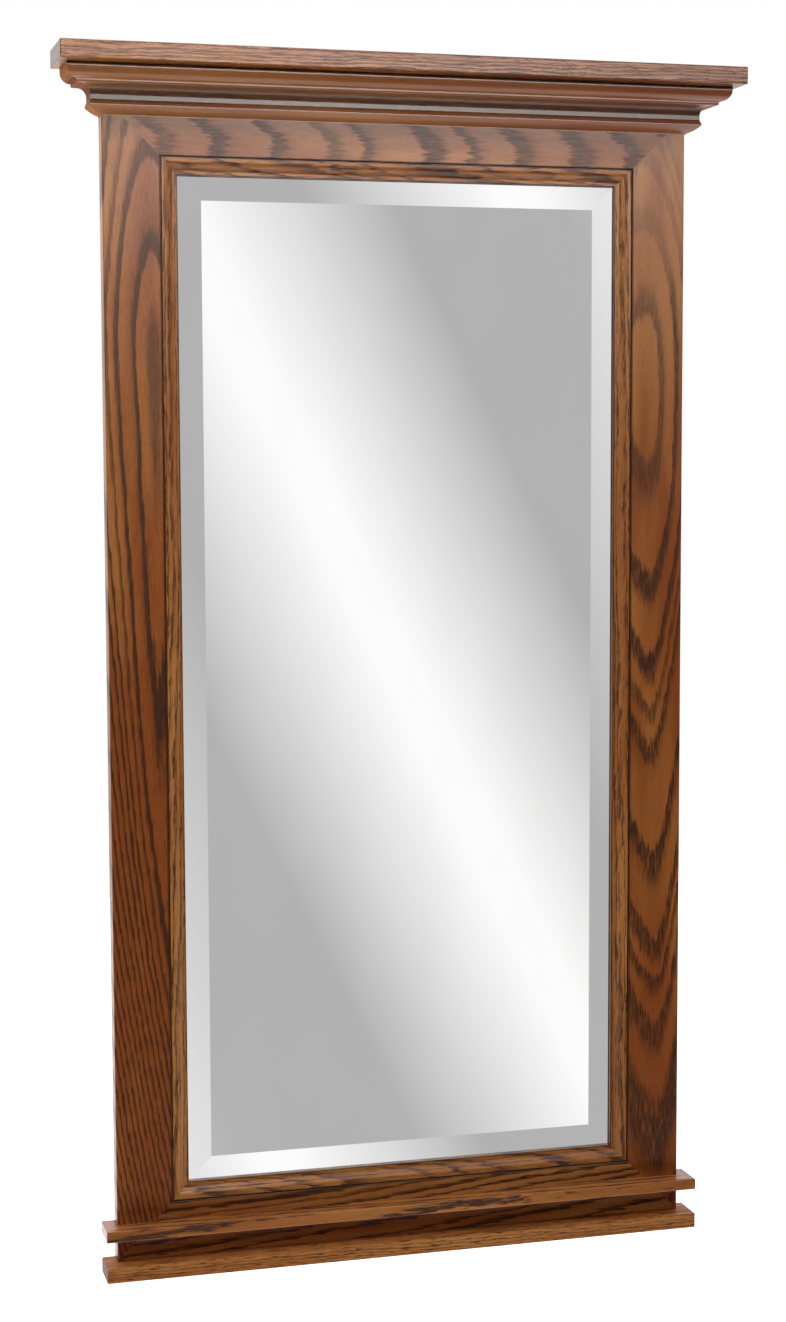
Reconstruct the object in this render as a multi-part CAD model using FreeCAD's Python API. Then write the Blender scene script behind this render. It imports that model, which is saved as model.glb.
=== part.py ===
import FreeCAD, Part
import math
import os

V = FreeCAD.Vector

# Oak wall mirror. Millimetres, +Z up, the front faces -Y.
# Origin: middle of the top rail's back face, on the wall plane Y = 0.

# Bevelled glass
glass_width = 509.0
glass_height = 1113.0
glass_thickness = 5.0
bevel_width = 32.0
bevel_drop = 2.2
glass_setback = 8.0           # front of the glass behind the front of the frame
glass_clearance = 1.5         # round the edge of the glass, inside the liner

# Main frame stock
stock_width = 62.0
stock_thickness = 19.0
frame_outer_round = 1.5
frame_inner_round = 1.0

# Liner moulding, from the frame inwards: quirk, flat, ovolo, fillet, cove and lip
liner_width = 19.5
lip_lap = 6.0                 # cover of the lip over the glass
lip_seat_gap = 0.1
quirk_width = 1.3
quirk_depth = 3.0
flat_width = 3.9
flat_setback = 0.4
flat_round = 0.7
liner_ovolo_width = 4.8
liner_ovolo_drop = 2.6
liner_fillet_width = 0.6
liner_cove_width = 4.6
lip_setback = 6.0
lip_round = 0.8

# Crown moulding, from its foot on the top rail up to the cap
crown_drop = 22.0             # how far it laps down over the top rail
foot_lip = 0.8
foot_width = 13.7
foot_height = 8.4
foot_sag = 0.75               # hollow of the foot's curve below its chord
bead_height = 0.8
flare_height = 5.0            # slope from the bead back up to the neck
flare_width = 1.8
neck_height = 4.7
crown_cove_radius = 10.0
soffit_width = 6.4
fillet_height = 3.7
fillet_round = 2.0
ovolo_radius = 11.4
fascia_height = 4.2

# Cap board
cap_thickness = 19.0
cap_front_overhang = 20.5
cap_side_overhang = 9.5
board_round = 1.2

# Ledges across the foot of the frame
ledge_projection = 21.5
ledge_side_overhang = 14.5
upper_ledge_thickness = 12.5
upper_ledge_below_opening = 21.0
lower_ledge_thickness = 17.0

# Back panel and its turn buttons
panel_thickness = 3.0
panel_clearance = 0.5
button_thickness = 1.2
button_gap = 0.1              # above the liner, and under the screw head
button_tail_radius = 4.8
button_nose_radius = 3.6
button_reach = 15.0           # pivot to the centre of the nose
button_end_inset = 190.0      # from the end of a liner side to its first button

# Hanger plates
hanger_spacing = 406.4
plate_length = 46.0
plate_width = 18.0
plate_thickness = 1.6
plate_sink = 0.1
keyhole_radius = 4.75
keyhole_drop = 6.0            # entry hole below the middle of the plate
keyslot_radius = 2.6
keyslot_length = 11.0
plate_screw_inset = 6.5
pocket_radius = 5.6
pocket_depth = 8.0

# Setting pads round the glass
pad_length = 30.0
pad_inset = 110.0             # from a corner of the glass to the middle of a pad
pads_per_side = 2

# Corner biscuits
biscuit_length = 56.0
biscuit_width = 23.0
biscuit_thickness = 4.0

# Dowels and wood screws
dowel_radius = 4.0
dowel_length = 32.0
dowel_inset = 80.0
wood_screw_shank = 2.0
wood_screw_head = 4.0
wood_screw_head_height = 2.4
wood_screw_sink = 0.4
backer_screw_length = 38.0
backer_screw_inset = 30.0
upper_ledge_screw_length = 34.0
upper_ledge_screw_inset = 100.0
lower_ledge_screw_length = 44.0
lower_ledge_screw_inset = 70.0
fixings_per_row = 4           # dowels or screws in each row along the frame

# Small screws of the turn buttons and the hanger plates
small_screw_shank = 1.5
small_screw_head = 3.0
small_screw_head_height = 1.4
button_screw_length = 8.0
plate_screw_length = 12.0
drive_width = 0.8
drive_depth = 0.8
drive_share = 0.6             # length of the cross recess over the head's width
screw_tip = 3.0

# Brads
brad_radius = 0.6
brad_set = 1.0                # depth of a brad's head below the wood
crown_brad_length = 24.0
crown_brad_inset = 50.0
crown_brads = 5
return_brads = 2
return_brad_inset = 5.0
liner_brad_length = 24.0
liner_brad_inset = 50.0
liner_brads = 4

# Fits
fit_gap = 0.05                # round screws, brads and the pivots of the buttons
slot_gap = 0.15               # round biscuits, dowels and hanger plates

# Worked out from the sizes above
opening_width = glass_width - 2 * lip_lap + 2 * liner_width
opening_height = glass_height - 2 * lip_lap + 2 * liner_width
frame_width = opening_width + 2 * stock_width
frame_height = opening_height + 2 * stock_width
half_frame = frame_width / 2
face_y = -stock_thickness
stock_middle_y = face_y / 2
frame_top = stock_width / 2
opening_bottom = frame_top - stock_width - opening_height
frame_bottom = opening_bottom - stock_width
middle_z = (frame_top + frame_bottom) / 2

glass_front_y = face_y + glass_setback
glass_rim_y = glass_front_y + bevel_drop
glass_back_y = glass_front_y + glass_thickness
panel_back_y = glass_back_y + panel_thickness
leg_width = liner_width - lip_lap - glass_clearance
lip_back = glass_setback + bevel_drop * (1 - lip_lap / bevel_width) - lip_seat_gap

bead_projection = foot_lip + foot_width
neck_projection = bead_projection - flare_width
cove_projection = neck_projection + crown_cove_radius
fillet_projection = cove_projection + soffit_width
crown_projection = fillet_projection + ovolo_radius
crown_bottom = frame_top - crown_drop
foot_top = crown_bottom + foot_lip + foot_height
neck_bottom = foot_top + bead_height + flare_height
neck_top = neck_bottom + neck_height
soffit_z = neck_top + crown_cove_radius
ovolo_bottom = soffit_z + fillet_height
ovolo_top = ovolo_bottom + ovolo_radius
crown_top = ovolo_top + fascia_height
cap_top = crown_top + cap_thickness

upper_ledge_top = opening_bottom - upper_ledge_below_opening
upper_ledge_bottom = upper_ledge_top - upper_ledge_thickness
lower_ledge_bottom = frame_bottom - lower_ledge_thickness

parts = {}


# Drawing helpers

def outline(place, start, *steps):
    """Face inside a closed outline. A step is a point, or (middle, end) of an arc."""
    edges = []
    here = start
    last = steps[-1]
    closing = () if start in (last, last[1]) else (start,)
    for step in steps + closing:
        is_arc = isinstance(step[0], tuple)
        end = step[1] if is_arc else step
        if is_arc:
            edges.append(Part.Arc(place(*here), place(*step[0]), place(*end)).toShape())
        else:
            edges.append(Part.makeLine(place(*here), place(*end)))
        here = end
    return Part.Face(Part.Wire(edges))


def quarter(start, corner, end):
    """Quarter round from start to end, tangent to the two lines that meet at the corner."""
    shift = 1 - math.sqrt(0.5)
    middle = tuple(c + shift * (a + b - 2 * c) for a, c, b in zip(start, corner, end))
    return middle, end


def easing(flat, far):
    """Middle of the arc through both points that leaves the flat one along the first axis."""
    run = far[0] - flat[0]
    drop = far[1] - flat[1]
    radius = (run ** 2 + drop ** 2) / (2 * drop)
    half_turn = math.atan(drop / run)
    return flat[0] + radius * math.sin(half_turn), flat[1] + radius * (1 - math.cos(half_turn))


def prism(points, sweep):
    return Part.Face(Part.makePolygon(points + points[:1])).extrude(sweep)


def box(low, high):
    size = high - low
    return Part.makeBox(size.x, size.y, size.z, low)


def rod(radius, start, end):
    along = end - start
    return Part.makeCylinder(radius, along.Length, start, along)


def spaced(count, length, inset):
    """Evenly spaced places along a centred length, the outer ones an inset from its ends."""
    if count == 1:
        return [0.0]
    reach = length / 2 - inset
    return [reach * (2 * i / (count - 1) - 1) for i in range(count)]


def cut(names, tools):
    for name in names:
        parts[name] = parts[name].cut(tools)


def group(name, solids):
    parts[name] = Part.makeCompound(solids)


# Mitred runs in the plane of the frame

def ring_place(side, width, height):
    """Map (along, inward, behind the face) to a point, for one side of a ring."""
    if side in ("left", "right"):
        sign = -1 if side == "left" else 1
        return lambda along, inward, behind: V(
            sign * (width / 2 - inward), face_y + behind, middle_z + along)
    sign = -1 if side == "bottom" else 1
    return lambda along, inward, behind: V(
        along, face_y + behind, middle_z + sign * (height / 2 - inward))


def ring_length(side, width, height):
    return height if side in ("left", "right") else width


def ring_run(side, width, height, reach, section):
    """One side of a ring: its section swept along, with a 45 degree mitre at both ends."""
    place = ring_place(side, width, height)
    half = ring_length(side, width, height) / 2
    face = outline(lambda inward, behind: place(-half, inward, behind), *section)
    bar = face.extrude(place(half, 0, 0) - place(-half, 0, 0))
    spare = reach / 2
    trapezium = [(-half - spare, -spare), (half + spare, -spare),
                 (half - reach - spare, reach + spare), (reach + spare - half, reach + spare)]
    points = [place(along, inward, -spare) for along, inward in trapezium]
    return bar.common(prism(points, V(0, stock_thickness + 2 * spare, 0)))


def frame_section():
    outer = frame_outer_round
    inner = stock_width - frame_inner_round
    return ((0, stock_thickness), (0, outer), quarter((0, outer), (0, 0), (outer, 0)), (inner, 0),
            quarter((inner, 0), (stock_width, 0), (stock_width, frame_inner_round)),
            (stock_width, stock_thickness))


def liner_section():
    flat_side = (quirk_width, flat_setback + flat_round)
    flat_start = (quirk_width + flat_round, flat_setback)
    ovolo_start = (quirk_width + flat_width, flat_setback)
    ovolo_end = (ovolo_start[0] + liner_ovolo_width, flat_setback + liner_ovolo_drop)
    cove_start = (ovolo_end[0] + liner_fillet_width, ovolo_end[1])
    cove_end = (cove_start[0] + liner_cove_width, lip_setback)
    lip_flat = (liner_width - lip_round, lip_setback)
    lip_edge = (liner_width, lip_setback + lip_round)
    leg_back = panel_back_y - face_y
    return ((0, quirk_depth), (quirk_width, quirk_depth), flat_side,
            quarter(flat_side, (quirk_width, flat_setback), flat_start), ovolo_start,
            (easing(ovolo_start, ovolo_end), ovolo_end), cove_start,
            (easing(cove_end, cove_start), cove_end),
            lip_flat, quarter(lip_flat, (liner_width, lip_setback), lip_edge),
            (liner_width, lip_back), (leg_width, lip_back), (leg_width, leg_back), (0, leg_back))


frame_names = {"left": "stile_left", "right": "stile_right", "top": "rail_top", "bottom": "rail_bottom"}
for side, name in frame_names.items():
    parts[name] = ring_run(side, frame_width, frame_height, stock_width, frame_section())
    parts["liner_" + side] = ring_run(side, opening_width, opening_height, liner_width, liner_section())


# Mitred runs that wrap round the front and the two sides of the frame

def wrap_place(side):
    """Map (along, out from the frame, height) to a point, for a front length or a return."""
    if side == "front":
        return lambda along, out, height: V(along, face_y - out, height)
    sign = -1 if side == "left" else 1
    return lambda along, out, height: V(sign * (half_frame + out), along, height)


def wrap_run(side, front, returned, section):
    """Front length or return, mitred on the line from the frame's corner to its own corner."""
    place = wrap_place(side)
    inside = -0.5    # the mitre's cut runs this share of the projection into the frame
    outside = 1.5    # and this share out past the moulding
    if side == "front":
        ends = (-half_frame - returned, half_frame + returned)
        mitre = [(sign * (half_frame + share * returned), share * front)
                 for sign, share in ((-1, inside), (1, inside), (1, outside), (-1, outside))]
    else:
        ends = (face_y - front, 0)
        mitre = [(face_y - share * front, share * returned) for share in (inside, outside)]
        mitre += [(front, outside * returned), (front, inside * returned)]
    face = outline(lambda out, height: place(ends[0], out, height), *section)
    bar = face.extrude(place(ends[1], 0, 0) - place(ends[0], 0, 0))
    low = bar.BoundBox.ZMin - returned
    high = bar.BoundBox.ZMax + returned
    points = [place(along, out, low) for along, out in mitre]
    return bar.common(prism(points, V(0, 0, high - low)))


def crown_section():
    foot_start = (foot_lip, crown_bottom + foot_lip)
    foot_end = (bead_projection, foot_top)
    foot_middle = ((foot_start[0] + foot_end[0]) / 2 + foot_sag,
                   (foot_start[1] + foot_end[1]) / 2 - foot_sag)
    cove_start = (neck_projection, neck_top)
    cove_end = (cove_projection, soffit_z)
    fillet_edge = (fillet_projection - fillet_round, soffit_z)
    fillet_side = (fillet_projection, soffit_z + fillet_round)
    ovolo_start = (fillet_projection, ovolo_bottom)
    ovolo_end = (crown_projection, ovolo_top)
    return ((0, crown_bottom), (foot_lip, crown_bottom), foot_start, (foot_middle, foot_end),
            (bead_projection, foot_top + bead_height), (neck_projection, neck_bottom), cove_start,
            quarter(cove_start, (neck_projection, soffit_z), cove_end),
            fillet_edge, quarter(fillet_edge, (fillet_projection, soffit_z), fillet_side), ovolo_start,
            quarter(ovolo_start, (crown_projection, ovolo_bottom), ovolo_end),
            (crown_projection, crown_top), (0, crown_top))


def ledge_section(projection):
    low = upper_ledge_bottom
    high = upper_ledge_top
    flat = projection - board_round
    return ((0, low), (flat, low), quarter((flat, low), (projection, low), (projection, low + board_round)),
            (projection, high - board_round),
            quarter((projection, high - board_round), (projection, high), (flat, high)), (0, high))


for side, part_name in (("front", "front"), ("left", "return_left"), ("right", "return_right")):
    parts["crown_" + part_name] = wrap_run(side, crown_projection, crown_projection, crown_section())
    ledge_out = ledge_projection if side == "front" else ledge_side_overhang
    parts["upper_ledge_" + part_name] = wrap_run(
        side, ledge_projection, ledge_side_overhang, ledge_section(ledge_out))


# Boards with eased edges, square at the back

def eased_board(half_length, projection, bottom, top):
    board = box(V(-half_length, face_y - projection, bottom), V(half_length, 0, top))
    edges = [edge for edge in board.Edges if edge.CenterOfMass.y < -board_round]
    return board.makeFillet(board_round, edges)


parts["top_cap"] = eased_board(half_frame + crown_projection + cap_side_overhang,
                               crown_projection + cap_front_overhang, crown_top, cap_top)
parts["lower_ledge"] = eased_board(half_frame + ledge_side_overhang, ledge_projection,
                                   lower_ledge_bottom, frame_bottom)
parts["crown_backer"] = box(V(-half_frame, face_y, frame_top), V(half_frame, 0, crown_top))


# Glass, setting pads and back panel

def bevelled_slab(place, half, sweep):
    return prism([place(-half, glass_back_y), place(half, glass_back_y), place(half, glass_rim_y),
                  place(half - bevel_width, glass_front_y), place(bevel_width - half, glass_front_y),
                  place(-half, glass_rim_y)], sweep)


def make_glass():
    half_width = glass_width / 2
    half_height = glass_height / 2
    across = bevelled_slab(lambda x, y: V(x, y, middle_z - half_height), half_width, V(0, 0, glass_height))
    upright = bevelled_slab(lambda z, y: V(-half_width, y, middle_z + z), half_height, V(glass_width, 0, 0))
    return across.common(upright)


def make_pads():
    pads = []
    for side in frame_names:
        place = ring_place(side, opening_width, opening_height)
        length = ring_length(side, glass_width, glass_height)
        for along in spaced(pads_per_side, length, pad_inset):
            corners = [(along - pad_length / 2, leg_width), (along + pad_length / 2, leg_width),
                       (along + pad_length / 2, leg_width + glass_clearance),
                       (along - pad_length / 2, leg_width + glass_clearance)]
            points = [place(a, inward, glass_rim_y - face_y) for a, inward in corners]
            pads.append(prism(points, V(0, glass_back_y - glass_rim_y, 0)))
    return pads


parts["mirror_glass"] = make_glass()
group("setting_pads", make_pads())
panel_half_width = opening_width / 2 - leg_width - panel_clearance
panel_half_height = opening_height / 2 - leg_width - panel_clearance
parts["back_panel"] = box(V(-panel_half_width, glass_back_y, middle_z - panel_half_height),
                          V(panel_half_width, panel_back_y, middle_z + panel_half_height))


# Biscuits in the four mitres

def biscuit(gap):
    """Lens in the XZ plane, long along X, as thick as a biscuit plus a gap all round."""
    half_length = biscuit_length / 2 + gap
    half_width = biscuit_width / 2 + gap
    radius = (half_length ** 2 + half_width ** 2) / (2 * half_width)
    thickness = biscuit_thickness + 2 * gap
    reach = V(0, thickness / 2, 0)
    offset = V(0, 0, radius - half_width)
    return rod(radius, offset - reach, offset + reach).common(rod(radius, -offset - reach, reach - offset))


def make_biscuits():
    biscuits = []
    for x_sign, stile in ((-1, "stile_left"), (1, "stile_right")):
        for z_sign, rail in ((-1, "rail_bottom"), (1, "rail_top")):
            middle = V(x_sign * (half_frame - stock_width / 2), stock_middle_y,
                       middle_z + z_sign * (frame_height - stock_width) / 2)
            turn = FreeCAD.Rotation(V(0, 1, 0), -45 * x_sign * z_sign)
            slot = biscuit(slot_gap)
            slot.Placement = FreeCAD.Placement(middle, turn)
            cut((stile, rail), slot)
            solid = biscuit(0)
            solid.Placement = FreeCAD.Placement(middle, turn)
            biscuits.append(solid)
    return biscuits


group("corner_biscuits", make_biscuits())


# Screws: the head's top is at the base, and the shank runs along the direction

def turned(place, direction, *section):
    solid = outline(lambda radius, height: V(radius, 0, height), *section).revolve(V(), V(0, 0, 1), 360)
    solid.Placement = FreeCAD.Placement(place, FreeCAD.Rotation(V(0, 0, 1), direction))
    return solid


def drive_cross(place, direction, head):
    """Cross recess in a screw's head."""
    cross = []
    span = 2 * head * drive_share
    for wide, long in ((drive_width, span), (span, drive_width)):
        bar = box(V(-wide / 2, -long / 2, -drive_depth), V(wide / 2, long / 2, drive_depth))
        bar.Placement = FreeCAD.Placement(place, FreeCAD.Rotation(V(0, 0, 1), direction))
        cross.append(bar)
    return cross


def countersunk(place, direction, head, head_height, shank, length):
    body = turned(place, direction, (0, 0), (head, 0), (shank, head_height), (shank, length - screw_tip),
                  (0, length))
    return body.cut(drive_cross(place, direction, head))


def countersunk_hole(place, direction, head, head_height, shank, length, sink):
    wide = head + fit_gap
    narrow = shank + fit_gap
    mouth = -sink - fit_gap
    return turned(place, direction, (0, mouth), (wide, mouth), (wide, 0), (narrow, head_height),
                  (narrow, length - screw_tip), (0, length + fit_gap))


def pan_head(place, direction, head, head_height, shank, length):
    dome = (head * math.sqrt(0.5), head_height * (1 - math.sqrt(0.5)))
    body = turned(place, direction, (0, 0), (dome, (head, head_height)), (shank, head_height),
                  (shank, head_height + length - screw_tip), (0, head_height + length))
    return body.cut(drive_cross(place, direction, head))


def wood_screws(node, names, direction, length, places):
    """Row of countersunk wood screws in clearance holes."""
    size = (wood_screw_head, wood_screw_head_height, wood_screw_shank, length)
    sunk = direction * wood_screw_sink
    cut(names, [countersunk_hole(place + sunk, direction, *size, wood_screw_sink) for place in places])
    group(node, [countersunk(place + sunk, direction, *size) for place in places])


wood_screws("cap_screws", ("crown_backer", "top_cap"), V(0, 0, 1), backer_screw_length,
            [V(x, stock_middle_y, frame_top)
             for x in spaced(fixings_per_row, frame_width, backer_screw_inset)])
wood_screws("upper_ledge_screws", ("rail_bottom", "upper_ledge_front"), V(0, -1, 0), upper_ledge_screw_length,
            [V(x, 0, (upper_ledge_top + upper_ledge_bottom) / 2)
             for x in spaced(fixings_per_row, frame_width, upper_ledge_screw_inset)])
wood_screws("lower_ledge_screws", ("lower_ledge", "rail_bottom"), V(0, 0, 1), lower_ledge_screw_length,
            [V(x, stock_middle_y, lower_ledge_bottom)
             for x in spaced(fixings_per_row, frame_width, lower_ledge_screw_inset)])


# Dowels between the top rail and the backer

def make_dowels():
    dowels = []
    for x in spaced(fixings_per_row, frame_width, dowel_inset):
        low = V(x, stock_middle_y, frame_top - dowel_length / 2)
        high = V(x, stock_middle_y, frame_top + dowel_length / 2)
        ends = V(0, 0, slot_gap)
        cut(("rail_top", "crown_backer"), rod(dowel_radius + slot_gap, low - ends, high + ends))
        dowels.append(rod(dowel_radius, low, high))
    return dowels


group("backer_dowels", make_dowels())


# Brads through the crown's neck and out of the liner's rebate

def brad(names, start, direction, length):
    """Brad set below the surface in its own hole, with the filler over it left as wood."""
    end = start + direction * length
    ends = direction * fit_gap
    cut(names, rod(brad_radius + fit_gap, start - ends, end + ends))
    return rod(brad_radius, start, end)


def make_crown_brads():
    height = (neck_bottom + neck_top) / 2
    out = neck_projection - brad_set
    brads = [brad(("crown_front", "rail_top"), V(x, face_y - out, height), V(0, 1, 0), crown_brad_length)
             for x in spaced(crown_brads, frame_width, crown_brad_inset)]
    for sign, side in ((-1, "left"), (1, "right")):
        names = ("crown_return_" + side, "stile_" + side, "rail_top")
        for y in spaced(return_brads, stock_thickness, return_brad_inset):
            start = V(sign * (half_frame + out), stock_middle_y + y, height)
            brads.append(brad(names, start, V(-sign, 0, 0), crown_brad_length))
    return brads


def make_liner_brads():
    brads = []
    behind = (lip_back + panel_back_y - face_y) / 2
    for side, name in frame_names.items():
        place = ring_place(side, opening_width, opening_height)
        length = ring_length(side, opening_width, opening_height)
        outward = place(0, 0, 0) - place(0, 1, 0)
        for along in spaced(liner_brads, length, liner_brad_inset):
            start = place(along, leg_width - brad_set, behind)
            brads.append(brad(("liner_" + side, name), start, outward, liner_brad_length))
    return brads


group("crown_brads", make_crown_brads())
group("liner_brads", make_liner_brads())


# Turn buttons on the back of the liner, each on its own screw

def button_plate(place):
    """Teardrop plate, drawn from its pivot along the reach of its nose."""
    slope = math.acos((button_tail_radius - button_nose_radius) / button_reach)
    tail = (button_tail_radius * math.cos(slope), button_tail_radius * math.sin(slope))
    nose = (button_reach + button_nose_radius * math.cos(slope), button_nose_radius * math.sin(slope))
    face = outline(place, tail, ((-button_tail_radius, 0), (tail[0], -tail[1])), (nose[0], -nose[1]),
                   ((button_reach + button_nose_radius, 0), nose))
    return face.extrude(V(0, button_thickness, 0))


def make_button(node, side, along):
    place = ring_place(side, opening_width, opening_height)
    pivot = leg_width / 2
    seat = panel_back_y - face_y
    plate = button_plate(lambda reach, across: place(along + across, pivot + reach, seat + button_gap))
    plate_back = place(along, pivot, seat + button_gap + button_thickness)
    inward = V(0, -1, 0)
    head_seat = plate_back - inward * button_gap
    screw_end = head_seat + inward * (button_screw_length + fit_gap)
    hole = rod(small_screw_shank + fit_gap, head_seat, screw_end)
    parts[node] = plate.cut(hole)
    cut(("liner_" + side,), hole)
    head_top = head_seat - inward * small_screw_head_height
    size = (small_screw_head, small_screw_head_height, small_screw_shank, button_screw_length)
    return pan_head(head_top, inward, *size)


button_screws = []
levels = ("lower", "middle", "upper")
for side in ("left", "right"):
    for level, along in zip(levels, spaced(len(levels), opening_height, button_end_inset)):
        button_screws.append(make_button("turn_button_" + side + "_" + level, side, along))
for side in ("top", "bottom"):
    button_screws.append(make_button("turn_button_" + side, side, 0.0))
group("turn_button_screws", button_screws)


# Keyhole hanger plates let into the back of the top rail

def upright_slot(x, low, high, radius, back, front):
    """Upright bar with round ends, from a back plane to a front plane."""
    face = outline(lambda across, height: V(x + across, back, height),
                   (radius, low), (radius, high), ((0, high + radius), (-radius, high)), (-radius, low),
                   ((0, low - radius), (radius, low)))
    return face.extrude(V(0, front - back, 0))


def make_hanger(node, x):
    back = -plate_sink
    front = back - plate_thickness
    end = plate_length / 2 - plate_width / 2
    mortise = upright_slot(x, -end, end, plate_width / 2 + slot_gap, plate_sink, front)
    slot_end = keyslot_length - keyhole_drop
    pocket = upright_slot(x, -keyhole_drop, slot_end, pocket_radius, back, front - pocket_depth)
    keyslot = upright_slot(x, -keyhole_drop, slot_end, keyslot_radius, plate_sink, front - plate_sink)
    entry = rod(keyhole_radius, V(x, plate_sink, -keyhole_drop), V(x, front - plate_sink, -keyhole_drop))
    plate = upright_slot(x, -end, end, plate_width / 2, back, front)
    parts[node] = plate.cut([keyslot, entry])
    cut(("rail_top",), [mortise, pocket])
    inward = V(0, -1, 0)
    size = (small_screw_head, small_screw_head_height, small_screw_shank, plate_screw_length)
    screws = []
    for sign in (-1, 1):
        place = V(x, back, sign * (plate_length / 2 - plate_screw_inset))
        cut((node, "rail_top"), countersunk_hole(place, inward, *size, plate_sink))
        screws.append(countersunk(place, inward, *size))
    return screws


group("hanger_screws", make_hanger("hanger_plate_left", -hanger_spacing / 2)
      + make_hanger("hanger_plate_right", hanger_spacing / 2))


os.makedirs("parts", exist_ok=True)
for name, shape in parts.items():
    shape.exportStep("parts/" + name + ".step")
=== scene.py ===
"""Finish, light and camera for the oak wall mirror.

Metres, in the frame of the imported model: X to the right, Y into the wall, Z up, and the front faces -Y.
The origin is the middle of the top rail's back face.
"""
import math

import bpy
from mathutils import Matrix, Vector


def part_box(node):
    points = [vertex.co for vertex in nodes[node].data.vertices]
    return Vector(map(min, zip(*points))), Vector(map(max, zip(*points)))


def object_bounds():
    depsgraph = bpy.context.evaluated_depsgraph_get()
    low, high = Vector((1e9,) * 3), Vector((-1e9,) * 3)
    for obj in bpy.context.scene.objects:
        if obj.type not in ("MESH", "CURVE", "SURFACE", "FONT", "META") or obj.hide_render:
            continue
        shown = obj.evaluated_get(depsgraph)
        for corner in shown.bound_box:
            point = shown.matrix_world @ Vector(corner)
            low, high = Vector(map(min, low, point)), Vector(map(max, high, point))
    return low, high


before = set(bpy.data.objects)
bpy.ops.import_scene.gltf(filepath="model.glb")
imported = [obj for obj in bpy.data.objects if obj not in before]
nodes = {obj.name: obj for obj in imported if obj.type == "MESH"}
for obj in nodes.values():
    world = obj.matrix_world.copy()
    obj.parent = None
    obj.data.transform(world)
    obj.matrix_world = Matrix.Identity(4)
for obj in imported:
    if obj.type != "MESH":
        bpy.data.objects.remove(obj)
cad_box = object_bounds()

# Camera, fitted to the straight edges of the photograph
camera_place = (-0.70010, -2.52657, -0.34017)
camera_lens = 63.945          # millimetres, on a 36 mm long side
camera_yaw = 15.321           # degrees to the right of straight at the wall
camera_pitch = 5.2115         # degrees down
camera_roll = 0.208           # degrees

# Floor
floor_drop = 0.75             # floor below the foot of the mirror
floor_half_width = 5.0
floor_front = -1.2
floor_back = 6.0
floor_colour = (0.86, 0.86, 0.86, 1.0)
floor_roughness = 0.9
floor_glow = 0.6
white = (1.0, 1.0, 1.0, 1.0)

# Lamps: where each one is, its size, the point that it faces and its radiance
lamps = {
    "key": dict(place=(0.7, -2.9, 0.52), size=(2.0, 0.45), target=(0.0, 0.0, 0.05), glow=1.0),
    "overhead": dict(place=(-0.25, -1.6, 1.75), size=(1.2, 0.35), target=(-0.45, 0.0, 0.0), glow=2.8),
    "side": dict(place=(-3.2, -0.6, 0.1), size=(2.0, 2.4), target=(0.0, 0.0, -0.5), glow=0.10),
}
lamp_spread = 60.0            # degrees
lamp_colour = (1.0, 0.95, 0.91)

# Room, which lights the mirror from all round
room_depth = (-0.6, 0.6)      # Y part of a direction, from where the front ends to where the back begins
room_front = 0.05             # radiance of the room on the camera's side
room_back = 0.95
room_height = (-0.7, 0.7)     # Z part of a direction, from where below ends to where above begins
room_below = 0.5              # how many times the radiance there is below
room_above = 1.2
ceiling_height = (0.3, 0.6)   # Z part of a direction where the ceiling begins and where it is full
ceiling_glow = 0.5            # radiance that the ceiling adds

# Reflection card behind the camera, which the glass shows
card_distance = 3.2           # in front of the wall
card_x = (-4.0, 6.0)
card_z = (-4.5, 3.0)
card_middle = (0.90, -0.94)   # X and Z of the point that the middle of the glass shows
card_tilt = 26.0              # degrees that the bands lean
card_period = 2.0             # from the middle of one bright band to the next
card_shift = 1.02             # step of the bands above and below the part that the flat glass shows
card_window = (-2.38, 0.50)   # Z of those steps
card_side_shift = 0.15        # step of the bands to the left and right of that part
card_side_window = (0.14, 1.63)
card_blend = 0.10             # half the width of a step
card_bright = 0.99
card_grey = 0.45
card_bands = (                # share of the way from one bright band to the next, and radiance
    (0.0, card_bright), (0.02, card_bright), (0.25, card_grey), (0.45, card_grey), (1.0, card_bright),
)


def linear(red, green, blue):
    """A colour given in 0 to 255 screen values, as the shader wants it."""
    def one(value):
        share = value / 255.0
        return share / 12.92 if share <= 0.04045 else ((share + 0.055) / 1.055) ** 2.4
    return (one(red), one(green), one(blue), 1.0)


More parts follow.
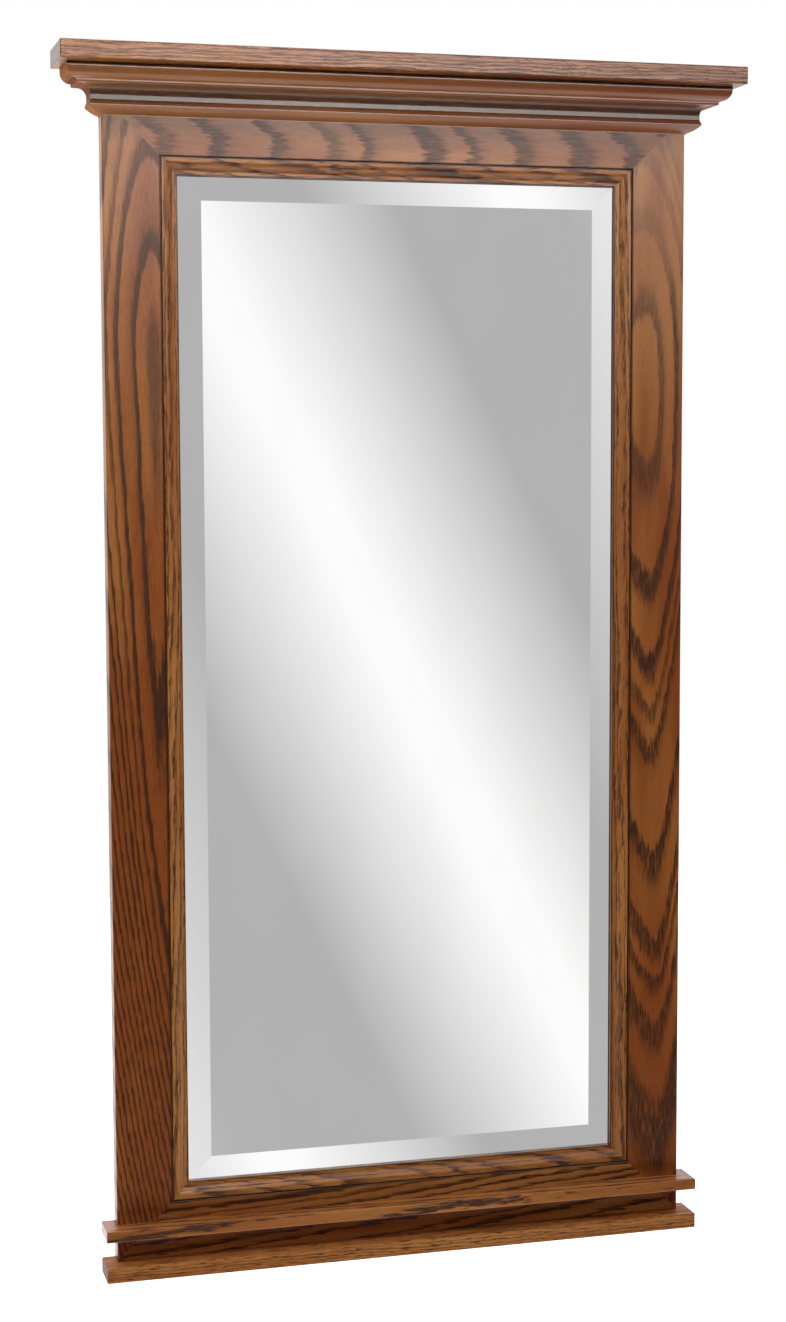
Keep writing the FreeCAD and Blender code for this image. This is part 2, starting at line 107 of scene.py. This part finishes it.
class Graph:
    """Short calls that build one node tree. A value is a number, a tuple or another node's output."""

    def __init__(self, tree):
        self.tree = tree
        tree.nodes.clear()

    def add(self, kind, **settings):
        node = self.tree.nodes.new(kind)
        for name, value in settings.items():
            setattr(node, name, value)
        return node

    def feed(self, socket, value):
        if isinstance(value, bpy.types.NodeSocket):
            self.tree.links.new(value, socket)
        else:
            socket.default_value = value

    def math(self, operation, *values):
        node = self.add("ShaderNodeMath", operation=operation)
        for socket, value in zip(node.inputs, values):
            self.feed(socket, value)
        return node.outputs[0]

    def vector(self, operation, first, second=None, output="Vector"):
        node = self.add("ShaderNodeVectorMath", operation=operation)
        self.feed(node.inputs[0], first)
        if second is not None:
            self.feed(node.inputs[1], second)
        return node.outputs[output]

    def scaled(self, vector, factor):
        node = self.add("ShaderNodeVectorMath", operation="SCALE")
        self.feed(node.inputs[0], vector)
        self.feed(node.inputs["Scale"], factor)
        return node.outputs[0]

    def parts(self, vector):
        node = self.add("ShaderNodeSeparateXYZ")
        self.feed(node.inputs[0], vector)
        return node.outputs

    def position(self):
        return self.add("ShaderNodeTexCoord").outputs["Object"]

    def normal(self):
        return self.add("ShaderNodeTexCoord").outputs["Normal"]

    def noise(self, vector, detail=2.0, roughness=0.5, output="Fac"):
        node = self.add("ShaderNodeTexNoise", noise_dimensions="3D")
        self.feed(node.inputs["Vector"], vector)
        self.feed(node.inputs["Scale"], 1.0)
        self.feed(node.inputs["Detail"], detail)
        self.feed(node.inputs["Roughness"], roughness)
        return node.outputs[output]

    def pattern(self, waves, detail=2.0, roughness=0.5):
        """Noise over the object, of so many waves per metre along X, Y and Z."""
        return self.noise(self.vector("MULTIPLY", self.position(), waves), detail, roughness)

    def line_noise(self, value, detail=1.0):
        node = self.add("ShaderNodeTexNoise", noise_dimensions="1D")
        self.feed(node.inputs["W"], value)
        self.feed(node.inputs["Scale"], 1.0)
        self.feed(node.inputs["Detail"], detail)
        return node.outputs["Fac"]

    def chance(self, value):
        """A number from 0 to 1 that is drawn afresh for every value."""
        node = self.add("ShaderNodeTexWhiteNoise", noise_dimensions="1D")
        self.feed(node.inputs["W"], value)
        return node.outputs["Value"]

    def span(self, value, low, high, to_low=0.0, to_high=1.0, smooth=True):
        """to_low up to low, to_high from high on, and in between from one to the other."""
        node = self.add("ShaderNodeMapRange", clamp=True)
        node.interpolation_type = "SMOOTHSTEP" if smooth else "LINEAR"
        for socket, number in zip(node.inputs, (value, low, high, to_low, to_high)):
            self.feed(socket, number)
        return node.outputs[0]

    def ramp(self, value, stops):
        """Straight runs between stops, each a place from 0 to 1 and the level there."""
        node = self.add("ShaderNodeValToRGB")
        elements = node.color_ramp.elements
        while len(elements) < len(stops):
            elements.new(0.5)
        for element, (place, level) in zip(elements, stops):
            element.position = place
            element.color = (level, level, level, 1.0)
        self.feed(node.inputs[0], value)
        return node.outputs[0]

    def mix(self, share, first, second):
        node = self.add("ShaderNodeMix", data_type="RGBA")
        for index, value in ((0, share), (6, first), (7, second)):
            self.feed(node.inputs[index], value)
        return node.outputs[2]

    def bump(self, height, depth, strength):
        node = self.add("ShaderNodeBump")
        self.feed(node.inputs["Height"], height)
        self.feed(node.inputs["Distance"], depth)
        self.feed(node.inputs["Strength"], strength)
        return node.outputs[0]

    def surface(self, **sockets):
        """One Principled shader. A socket's name is given with _ for each space."""
        shader = self.add("ShaderNodeBsdfPrincipled")
        for name, value in sockets.items():
            self.feed(shader.inputs[name.replace("_", " ")], value)
        self.close(shader.outputs[0])

    def close(self, shader):
        output = self.add("ShaderNodeOutputMaterial")
        self.feed(output.inputs["Surface"], shader)


def new_material(name):
    material = bpy.data.materials.new(name)
    material.use_nodes = True
    return material, Graph(material.node_tree)


# Colours of the oak
oak_gold = linear(176, 108, 50)
oak_pale = linear(200, 136, 74)
oak_red = linear(150, 78, 32)
oak_early = linear(74, 40, 18)
# The pore colour also serves for the painted shade in the quirk and along the glass
oak_pore_and_shade = linear(46, 25, 13)
oak_end = linear(74, 58, 42)

# Patterns of the oak: waves per metre along and across the grain, and a reach where one shifts the rings
slow_wander = (2.6, 11.0, 0.018)
quick_wander = (15.0, 45.0, 0.006)
ragged_edge = (34.0, 380.0, 0.0052)
gap_pattern = (48.0, 520.0)
tick_pattern = (60.0, 520.0)
pore_pattern = (95.0, 1900.0)
tone_pattern = (3.5, 26.0)
seed_step = (1.0, 0.7, 1.3)   # shift of every pattern for each seed
noise_middle = 0.5            # value that noise swings about

# Run along the grain from the heart, above 0 before it and below 0 past it, over which a figure changes
fan_run = (-0.8, 0.05)        # the rings crowd
change_run = (-0.6, 0.1)      # a pair of values goes from its second to its first
fade_run = (0.06, 0.16)       # the rings fade
tip_run = (0.08, 0.30)        # the tips of the rings go from one bluntness to the other, on either side
bend_start = 0.3              # run past the heart where a bend sets in
skew_blend = 0.005            # half the width of the change from one arm of a tip to the other

# Rings: a whole number is the start of a ring's dark early wood
dark_share = 0.36             # of a ring, from its start to the end of its early wood
ring_profile = (              # share of a ring, and how dark it is
    (0.0, 0.0), (0.03, 0.5), (0.08, 1.0), (0.27, 0.92), (dark_share, 0.40), (0.52, 0.06), (0.70, 0.0),
)
pale_heart = 0.7              # ring that a heart of late wood counts from
dark_heart = 1.1              # and a heart of early wood
swing_rate = 0.55             # how fast the rings go from wide to narrow
faintest_ring = 0.7           # as a share of the darkest

# Values of a pattern between which a thing sets in or ends
gap_cut = (0.36, 0.56)        # gaps in early wood
tick_cut = (0.30, 0.47)       # dark ticks
pale_tick_cut = (0.50, 0.72)
pore_cut = (0.56, 0.72)
gold_cut = (0.30, 0.62)       # red wood turns to gold
pale_cut = (0.52, 0.80)       # gold wood turns pale
end_cut = (0.80, 0.95)        # how squarely a face cuts the grain, for end grain

# Shares of a colour, and relief
redness_reach = 0.25          # how far redness 1 shifts the tone
pale_share = 0.7
pale_tick_share = 0.5
late_pores = 0.20             # how dark the pores are in late wood
early_pores = 0.40            # and how much darker in early wood
end_share = 0.75
pit_depth = 0.5               # of early wood, a pore or a tick, as a share of relief_depth
relief_depth = 0.00025
relief_strength = 0.35
early_roughness = 0.08        # added in early wood

# Painted shade: a dark line in the quirk round the opening and along the edge of the glass
opening = (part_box("liner_left")[0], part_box("liner_right")[1])
sight_low = (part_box("liner_left")[1].x, 0.0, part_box("liner_bottom")[1].z)
sight_high = (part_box("liner_right")[0].x, 0.0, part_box("liner_top")[0].z)
quirk_painted_shade = 0.65            # how dark
sight_painted_shade = 0.6
painted_shade_fade = (0.0010, 0.0020)  # distance from the edge over which it fades


def ring_count(g, radius, rings, spacing):
    """Number of rings passed. rings are the radius and the dark width of each, in millimetres.

    A first ring at radius 0 makes the heart dark. Past the last ring, more follow at an even spacing.
    """
    count = len(rings) + 1
    limit = sum(rings[-1])
    limit_metres = limit / 1000
    stops = [(0.0, (pale_heart if rings[0][0] else dark_heart) / count)]
    for number, (start, dark) in enumerate(rings, 1):
        if start:
            stops.append((start / limit, number / count))
        stops.append(((start + dark) / limit, (number + dark_share) / count))
    share = g.math("DIVIDE", radius, limit_metres)
    past = g.math("DIVIDE", g.math("SUBTRACT", radius, limit_metres), spacing)
    return g.math("MULTIPLY_ADD", g.ramp(share, stops), count, g.math("MAXIMUM", past, 0.0))


def edge_distance(g, place, low, high):
    """Distance of a point from the sides of an upright rectangle, given by two of its corners."""
    x, _, z = g.parts(place)
    away = []
    for value, start, end in ((x, low[0], high[0]), (z, low[2], high[2])):
        offset = g.math("ABSOLUTE", g.math("SUBTRACT", value, (start + end) / 2))
        away.append(g.math("SUBTRACT", offset, (end - start) / 2))
    return g.math("ABSOLUTE", g.math("MAXIMUM", *away))


def oak(name, grain, heart, seed, rings=(), spacing=0.0085, taper=(0.02, 0.02), point=(2.0, 2.0), skew=1.0,
        lean=(0.0, 0.0, 0.0), bend=(0.0, 0.0, 0.0), fan=0.0, fade=1.0, wander=1.0, ragged=(1.0, 1.0),
        broken=(0.3, 0.3), ticks=0.15, tick=tick_pattern, contrast=(1.0, 1.0), redness=(0.0, 0.0),
        gloss=0.5, roughness=0.30, coat=0.25, coat_roughness=0.22):
    """Plain-sawn oak of one board. Rings are long shells round the heart, drawn out along the grain.

    rings places each ring, or else they follow at about the spacing. taper is how fast a ring closes
    before and past the heart. point is how blunt its tip is beside the heart and far from it: 2 is round,
    1 is straight-sided. skew flattens the arm of a tip on the low side of X, or of Z on a level board.
    lean carries the heart sideways along the grain, and bend does so from bend_start on. fan crowds the
    rings past the heart, and fade is what is left of them before it. wander and ragged scale the waviness
    of the rings, broken parts their dark bands into dashes, and ticks strews short dashes, in the pattern
    tick, over the rest. contrast is how dark the rings are, and redness how red the wood between them.
    ragged, broken, contrast and redness are each a value before the heart and one past it. gloss is the
    specular level.
    """
    material, g = new_material(name)
    axis = Vector([1.0 if letter == grain else 0.0 for letter in "XYZ"])
    across = Vector((1.0, 1.0, 1.0)) - axis
    place = g.position()
    seeded = g.vector("ADD", place, tuple(seed * step for step in seed_step))
    local = g.vector("SUBTRACT", place, heart)
    run = g.vector("DOT_PRODUCT", local, tuple(axis), output="Value")

    def stretched(along, sideways):
        return g.vector("MULTIPLY", seeded, tuple(axis * along + across * sideways))

    def fibres(along, sideways):
        return g.noise(stretched(along, sideways), detail=2.0, roughness=0.6)

    def drift(along, sideways, reach):
        noise = g.noise(stretched(along, sideways), detail=2.0, output="Color")
        shift = g.vector("SUBTRACT", noise, (noise_middle, noise_middle, noise_middle))
        return g.vector("MULTIPLY", shift, tuple(across * reach * wander))

    def changing(before, past):
        """One value before the heart and another past it."""
        return g.span(run, *change_run, past, before)

    # Distance from the heart, counted in rings
    past_bend = g.math("MINIMUM", g.math("ADD", run, bend_start), 0.0)
    local = g.vector("ADD", local, g.scaled(lean, run))
    local = g.vector("ADD", local, g.scaled(bend, g.math("MULTIPLY", past_bend, past_bend)))
    local = g.vector("ADD", local, drift(*slow_wander))
    local = g.vector("ADD", local, drift(*quick_wander))
    sideways = g.vector("LENGTH", g.vector("MULTIPLY", local, tuple(across)), output="Value")
    sideways = g.math("MULTIPLY", sideways, g.span(run, *fan_run, 1.0 + fan, 1.0))
    high_side = (0.0, 0.0, 1.0) if grain == "X" else (1.0, 0.0, 0.0)
    side = g.vector("DOT_PRODUCT", local, high_side, output="Value")
    sideways = g.math("MULTIPLY", sideways, g.span(side, -skew_blend, skew_blend, skew, 1.0))
    closing = g.math("MAXIMUM", g.math("MULTIPLY", run, taper[0]), g.math("MULTIPLY", run, -taper[1]))
    bluntness = g.span(g.math("ABSOLUTE", run), *tip_run, *point)
    shell = g.math("ADD", g.math("POWER", sideways, bluntness), g.math("POWER", closing, bluntness))
    radius = g.math("POWER", shell, g.math("DIVIDE", 1.0, bluntness))
    along, over, reach = ragged_edge
    teeth = g.math("SUBTRACT", fibres(along, over), noise_middle)
    radius = g.math("MULTIPLY_ADD", teeth, changing(*(reach * share for share in ragged)), radius)
    if rings:
        ring = ring_count(g, radius, rings, spacing)
    else:
        ring = g.math("DIVIDE", radius, spacing)
        ring = g.math("ADD", g.line_noise(g.math("MULTIPLY_ADD", ring, swing_rate, seed)), ring)

    # Early wood, ticks and pores
    early = g.ramp(g.math("FRACT", ring), ring_profile)
    strength = g.span(g.chance(g.math("FLOOR", ring)), 0.0, 1.0, faintest_ring, 1.0, smooth=False)
    least = changing(*(1.0 - share for share in broken))
    strength = g.math("MULTIPLY", strength, g.span(fibres(*gap_pattern), *gap_cut, least, 1.0))
    strength = g.math("MULTIPLY", strength, changing(*contrast))
    strength = g.math("MULTIPLY", strength, g.span(run, *fade_run, 1.0, fade))
    early = g.math("MULTIPLY", early, strength)
    dashes = fibres(*tick)
    dark_ticks = g.span(dashes, *tick_cut, ticks, 0.0)
    pores = g.span(g.noise(stretched(*pore_pattern), detail=1.0), *pore_cut)

    # Colour
    tone = g.noise(stretched(*tone_pattern), detail=3.0)
    tone = g.math("SUBTRACT", tone, changing(*(redness_reach * share for share in redness)))
    late = g.mix(g.span(tone, *gold_cut), oak_red, oak_gold)
    late = g.mix(g.span(tone, *pale_cut, 0.0, pale_share), late, oak_pale)
    late = g.mix(g.span(dashes, *pale_tick_cut, 0.0, pale_tick_share * ticks), late, oak_pale)
    late = g.mix(dark_ticks, late, oak_early)
    colour = g.mix(early, late, oak_early)
    pore_share = g.math("MULTIPLY", pores, g.math("MULTIPLY_ADD", early, early_pores, late_pores))
    colour = g.mix(pore_share, colour, oak_pore_and_shade)
    facing = g.math("ABSOLUTE", g.vector("DOT_PRODUCT", g.normal(), tuple(axis), output="Value"))
    colour = g.mix(g.span(facing, *end_cut, 0.0, end_share), colour, oak_end)
    # Painted shade in the quirk and along the edge of the glass, in the colour of the pores
    for low, high, shade in ((*opening, quirk_painted_shade), (sight_low, sight_high, sight_painted_shade)):
        shade_line = g.span(edge_distance(g, place, low, high), *painted_shade_fade, shade, 0.0)
        colour = g.mix(shade_line, colour, oak_pore_and_shade)

    # Relief
    pits = g.math("MULTIPLY", pores, pit_depth)
    for dark in (early, dark_ticks):
        pits = g.math("MULTIPLY_ADD", dark, pit_depth, pits)
    relief = g.math("SUBTRACT", 1.0, pits)
    g.surface(
        Base_Color=colour, Roughness=g.math("MULTIPLY_ADD", early, early_roughness, roughness),
        Normal=g.bump(relief, relief_depth, relief_strength),
        Specular_IOR_Level=gloss, Coat_Weight=coat, Coat_Roughness=coat_roughness,
    )
    return material


# Colours of the other materials
silver_dull = linear(253, 252, 252)
silver_clear = linear(255, 254, 254)
board_dark = linear(92, 62, 40)
board_pale = linear(134, 97, 66)
board_cloud = linear(112, 74, 47)
beech_pale = linear(214, 176, 132)
beech_fleck = linear(184, 140, 96)
rubber_dark = linear(24, 24, 25)
rubber_pale = linear(46, 46, 47)
zinc_dark = linear(168, 172, 176)
zinc_pale = linear(206, 208, 208)
brass_bright = linear(214, 172, 92)
brass_tarnish = linear(150, 108, 52)


def mirror_glass():
    """Silvered all over, with a faint smear that dulls it in places."""
    material, g = new_material("silvered_glass")
    smear = g.pattern((9.0, 9.0, 5.0), detail=3.0)
    silver = g.mix(g.span(smear, 0.3, 0.7), silver_dull, silver_clear)
    roughness = g.span(smear, 0.4, 0.8, to_low=0.0, to_high=0.012)
    g.surface(Base_Color=silver, Metallic=1.0, Roughness=roughness)
    return material


def hardboard():
    """Pressed fibre with soft clouds."""
    material, g = new_material("hardboard")
    fibre = g.pattern((700.0, 700.0, 700.0), detail=3.0, roughness=0.7)
    cloud = g.pattern((14.0, 14.0, 14.0), detail=3.0)
    colour = g.mix(g.span(fibre, 0.35, 0.65), board_dark, board_pale)
    colour = g.mix(g.span(cloud, 0.35, 0.7, to_high=0.35), colour, board_cloud)
    g.surface(Base_Color=colour, Roughness=0.78, Normal=g.bump(fibre, depth=0.0004, strength=0.5))
    return material


def beech():
    """Pale wood with short flecks."""
    material, g = new_material("beech")
    fleck = g.pattern((160.0, 1500.0, 900.0))
    colour = g.mix(g.span(fleck, 0.4, 0.7), beech_pale, beech_fleck)
    g.surface(Base_Color=colour, Roughness=0.6, Normal=g.bump(fleck, depth=0.0002, strength=0.3))
    return material


def rubber():
    """Black, with a fine grain."""
    material, g = new_material("rubber")
    grain = g.pattern((900.0, 900.0, 900.0))
    colour = g.mix(grain, rubber_dark, rubber_pale)
    g.surface(Base_Color=colour, Roughness=0.85, Normal=g.bump(grain, depth=0.0002, strength=0.3))
    return material


def zinc_steel():
    """Plated steel with a fine spangle."""
    material, g = new_material("zinc_steel")
    spangle = g.pattern((420.0, 420.0, 420.0))
    colour = g.mix(spangle, zinc_dark, zinc_pale)
    roughness = g.span(spangle, 0.3, 0.7, to_low=0.26, to_high=0.42)
    relief = g.bump(spangle, depth=0.0001, strength=0.2)
    g.surface(Base_Color=colour, Metallic=1.0, Roughness=roughness, Normal=relief)
    return material


def brass():
    """Brass with patches of tarnish, which are rougher."""
    material, g = new_material("brass")
    tarnish = g.pattern((130.0, 130.0, 130.0), detail=4.0, roughness=0.6)
    colour = g.mix(g.span(tarnish, 0.42, 0.7), brass_bright, brass_tarnish)
    roughness = g.span(tarnish, 0.35, 0.7, to_low=0.22, to_high=0.48)
    relief = g.bump(tarnish, depth=0.0001, strength=0.15)
    g.surface(Base_Color=colour, Metallic=1.0, Roughness=roughness, Normal=relief)
    return material


def dress(names, material):
    for name in names:
        mesh = nodes[name].data
        mesh.materials.clear()
        mesh.materials.append(material)


# Rings that the photograph shows, as radius and dark width in millimetres, and on the crown a band of
# painted shade given as a ring
rings_left = ((0.0, 9.0), (19.0, 6.0), (37.8, 6.0), (50.0, 4.5), (62.0, 4.0), (71.0, 4.0))
rings_right = (
    (13.0, 7.5), (32.0, 6.5), (46.0, 5.5), (55.0, 3.5), (61.0, 5.0), (79.5, 6.5), (94.5, 5.5),
    (102.0, 3.5), (109.0, 6.5), (122.0, 16.0),
)
rings_top = (
    (98.0, 13.0), (130.0, 13.0), (167.0, 11.0), (201.0, 11.0), (224.0, 9.0), (260.0, 17.0), (290.0, 9.0),
    (318.0, 16.0), (354.0, 19.0), (390.0, 13.0),
)
# A dark band over the neck and cove of the crown: painted shade in that hollow, given as one ring
crown_painted_shade_ring = ((52.0, 18.0),)

# What boards of one kind share
liner = dict(
    point=(1.4, 1.4), wander=0.5, broken=(0.4, 0.4), ticks=0.45, contrast=(1.1, 1.1), redness=(-0.8, -0.5),
)
side_liner = dict(grain="Z", spacing=0.0034, taper=(0.015, 0.015), **liner)
level_liner = dict(grain="X", spacing=0.0045, taper=(0.08, 0.08), **liner)
crown_return = dict(
    grain="Y", spacing=0.014, taper=(0.05, 0.05), ticks=0.6, gloss=0.1, roughness=0.6, coat=0.0,
)
ledge_return = dict(grain="Y", redness=(0.5, 0.5), coat=0.5)

# One entry for each oak board: grain, heart and what else differs
boards = {
    "stile_left": dict(
        grain="Z", heart=(-0.277, -0.018, -0.235), rings=rings_left, spacing=0.0115, taper=(0.19, 0.055),
        bend=(-0.15, 0.0, 0.0), point=(1.7, 2.0), fan=1.0, fade=0.9, wander=0.5, ragged=(0.9, 1.5),
        broken=(0.1, 0.4), ticks=0.3, contrast=(1.0, 1.4), redness=(-0.1, 0.8), seed=1.0),
    "stile_right": dict(
        grain="Z", heart=(0.288, -0.018, -0.262), rings=rings_right, spacing=0.011, taper=(0.2, 0.147),
        point=(2.2, 1.6), skew=0.55, lean=(0.02, 0.0, 0.0), fan=0.6, fade=0.35, wander=0.6,
        broken=(0.3, 0.6), contrast=(1.0, 1.15), redness=(-0.3, 0.5), seed=2.0),
    "rail_top": dict(
        grain="X", heart=(-0.45, -0.018, -0.013), rings=rings_top, spacing=0.03, taper=(0.55, 0.55),
        point=(1.15, 1.15), skew=0.35, wander=0.6, ragged=(3.0, 3.0), seed=3.0),
    "rail_bottom": dict(
        grain="X", heart=(0.9, 0.0, -1.21), taper=(0.04, 0.04), point=(1.5, 1.5), lean=(0.0, 0.0, -0.05),
        ragged=(1.5, 1.5), contrast=(1.2, 1.2), redness=(-0.4, -0.4), seed=4.0),
    "liner_left": dict(heart=(-0.28, 0.0, 0.1), seed=5.0, **side_liner),
    "liner_right": dict(heart=(0.28, 0.0, 0.1), seed=6.0, **side_liner),
    "liner_top": dict(heart=(0.7, -0.01, -0.03), seed=7.0, **level_liner),
    "liner_bottom": dict(
        heart=(-0.6, -0.01, -1.17), roughness=0.25, coat=0.6, coat_roughness=0.16, seed=8.0, **level_liner),
    "crown_front": dict(
        grain="X", heart=(0.3, -0.03, -0.03), rings=crown_painted_shade_ring, spacing=0.03, wander=0.3,
        contrast=(1.3, 1.2), redness=(0.7, -0.5), roughness=0.45, coat=0.6, coat_roughness=0.06, seed=9.0),
    "crown_return_left": dict(heart=(-0.3, 0.1, 0.06), seed=10.0, **crown_return),
    "crown_return_right": dict(heart=(0.3, 0.1, 0.06), seed=11.0, **crown_return),
    "crown_backer": dict(grain="X", heart=(0.1, 0.05, 0.0), taper=(0.04, 0.04), seed=12.0),
    # Redder and darker from the middle to the right end: partly the board's tone, partly painted shade
    "top_cap": dict(
        grain="X", heart=(0.15, -0.02, 0.3), spacing=0.004, contrast=(1.3, 1.1), ticks=1.0,
        tick=(30.0, 650.0), redness=(1.0, -0.8), roughness=0.25, seed=13.0),
    "upper_ledge_front": dict(
        grain="X", heart=(0.5, 0.0, -1.2), taper=(0.035, 0.035), point=(1.5, 1.5), lean=(0.0, 0.0, -0.02),
        ragged=(1.5, 1.5), contrast=(1.2, 1.2), redness=(-0.5, -0.5), seed=14.0),
    "upper_ledge_return_left": dict(heart=(-0.34, 0.1, -1.2), seed=15.0, **ledge_return),
    "upper_ledge_return_right": dict(heart=(0.34, 0.1, -1.2), seed=16.0, **ledge_return),
    "lower_ledge": dict(
        grain="X", heart=(0.3, -0.02, -1.0), spacing=0.004, contrast=(0.8, 0.8), ticks=1.0,
        redness=(-0.4, -0.4), gloss=0.2, roughness=0.45, coat=0.0, seed=17.0),
}
for board, figure in boards.items():
    dress([board], oak("oak_" + board, **figure))

steel_starts = (
    "cap_screws", "upper_ledge_screws", "lower_ledge_screws", "crown_brads", "liner_brads", "hanger_",
)
dress(["mirror_glass"], mirror_glass())
dress(["back_panel"], hardboard())
dress(["corner_biscuits", "backer_dowels"], beech())
dress(["setting_pads"], rubber())
dress([name for name in nodes if name.startswith(steel_starts)], zinc_steel())
dress([name for name in nodes if name.startswith("turn_button")], brass())


# Stage

def plane(name, corners):
    mesh = bpy.data.meshes.new(name)
    mesh.from_pydata(corners, [], [(0, 1, 2, 3)])
    thing = bpy.data.objects.new(name, mesh)
    bpy.context.scene.collection.objects.link(thing)
    return thing


def light_only(thing, names):
    """Keep the light of a lamp or card to the named nodes."""
    lit = bpy.data.collections.new(thing.name + "_lights")
    for name in names:
        lit.objects.link(nodes[name])
    thing.light_linking.receiver_collection = lit


def make_floor():
    """Plain and pale, with a glow of its own that keeps it near white."""
    level = cad_box[0][2] - floor_drop
    floor = plane("floor", [
        (-floor_half_width, floor_front, level), (floor_half_width, floor_front, level),
        (floor_half_width, floor_back, level), (-floor_half_width, floor_back, level),
    ])
    material, g = new_material("floor")
    g.surface(
        Base_Color=floor_colour, Roughness=floor_roughness,
        Emission_Color=white, Emission_Strength=floor_glow,
    )
    floor.data.materials.append(material)


def make_card():
    """Soft slanting bands that only reflections see."""
    left, right = card_x
    low, high = card_z
    upright = [
        (left, -card_distance, low), (left, -card_distance, high),
        (right, -card_distance, high), (right, -card_distance, low),
    ]
    foot = [
        (left, floor_front, low), (left, -card_distance, low),
        (right, -card_distance, low), (right, floor_front, low),
    ]
    material, g = new_material("reflection_card")
    tilt = math.radians(card_tilt)
    x, _, z = g.parts(g.position())
    run = g.math("MULTIPLY", g.math("SUBTRACT", x, card_middle[0]), math.cos(tilt))
    run = g.math("MULTIPLY_ADD", g.math("SUBTRACT", z, card_middle[1]), math.sin(tilt), run)
    steps = ((z, card_window, card_shift), (x, card_side_window, -card_side_shift))
    for place, (start, end), shift in steps:
        before = g.span(place, start - card_blend, start + card_blend, shift, 0.0)
        after = g.span(place, end - card_blend, end + card_blend, 0.0, -shift)
        run = g.math("ADD", run, g.math("ADD", after, before))
    fold = g.math("PINGPONG", g.math("ABSOLUTE", run), card_period)
    emission = g.add("ShaderNodeEmission")
    g.feed(emission.inputs["Color"], g.ramp(g.math("DIVIDE", fold, card_period), card_bands))
    g.close(emission.outputs[0])
    for name, corners in (("reflection_card", upright), ("reflection_card_foot", foot)):
        card = plane(name, corners)
        card.visible_camera = False
        card.visible_shadow = False
        card.visible_diffuse = False
        card.data.materials.append(material)
        light_only(card, ["mirror_glass"])


def softbox(name, place, size, target, glow):
    """A soft lamp that lights everything but the glass, which shows the card instead."""
    width, length = size
    light = bpy.data.lights.new(name, "AREA")
    light.shape = "RECTANGLE"
    light.size = width
    light.size_y = length
    light.energy = glow * width * length * math.pi
    light.spread = math.radians(lamp_spread)
    light.color = lamp_colour
    lamp = bpy.data.objects.new(name, light)
    lamp.location = place
    heading = Vector(target) - Vector(place)
    lamp.rotation_euler = heading.to_track_quat("-Z", "Y").to_euler()
    lamp.visible_camera = False
    bpy.context.scene.collection.objects.link(lamp)
    light_only(lamp, [node for node in nodes if node != "mirror_glass"])


def make_world():
    """White to the camera, and a soft room that is brighter above to everything else."""
    world = bpy.data.worlds.new("studio")
    bpy.context.scene.world = world
    world.use_nodes = True
    g = Graph(world.node_tree)
    _, depth, height = g.parts(g.add("ShaderNodeTexCoord").outputs["Generated"])
    room = g.span(depth, *room_depth, room_front, room_back)
    room = g.math("MULTIPLY", room, g.span(height, *room_height, room_below, room_above))
    room = g.math("ADD", room, g.span(height, *ceiling_height, 0.0, ceiling_glow))
    seen = g.add("ShaderNodeLightPath").outputs["Is Camera Ray"]
    background = g.add("ShaderNodeBackground")
    g.feed(background.inputs["Color"], g.mix(seen, room, white))
    output = g.add("ShaderNodeOutputWorld")
    g.feed(output.inputs["Surface"], background.outputs[0])


def make_camera():
    """Stands and looks as the photograph's camera did."""
    data = bpy.data.cameras.new("camera")
    data.lens = camera_lens
    camera = bpy.data.objects.new("camera", data)
    bpy.context.scene.collection.objects.link(camera)
    yaw, pitch, roll = (math.radians(angle) for angle in (camera_yaw, camera_pitch, camera_roll))
    ahead = Vector((math.sin(yaw) * math.cos(pitch), math.cos(yaw) * math.cos(pitch), -math.sin(pitch)))
    level = Vector((math.cos(yaw), -math.sin(yaw), 0.0))
    down = ahead.cross(level)
    right = math.cos(roll) * level + math.sin(roll) * down
    up = math.sin(roll) * level - math.cos(roll) * down
    turn = Matrix((right, up, -ahead)).transposed()
    camera.matrix_world = Matrix.Translation(camera_place) @ turn.to_4x4()
    bpy.context.scene.camera = camera


make_floor()
make_card()
make_world()
for lamp_name, lamp_settings in lamps.items():
    softbox(lamp_name, **lamp_settings)
make_camera()
bpy.context.scene.view_settings.view_transform = "Standard"
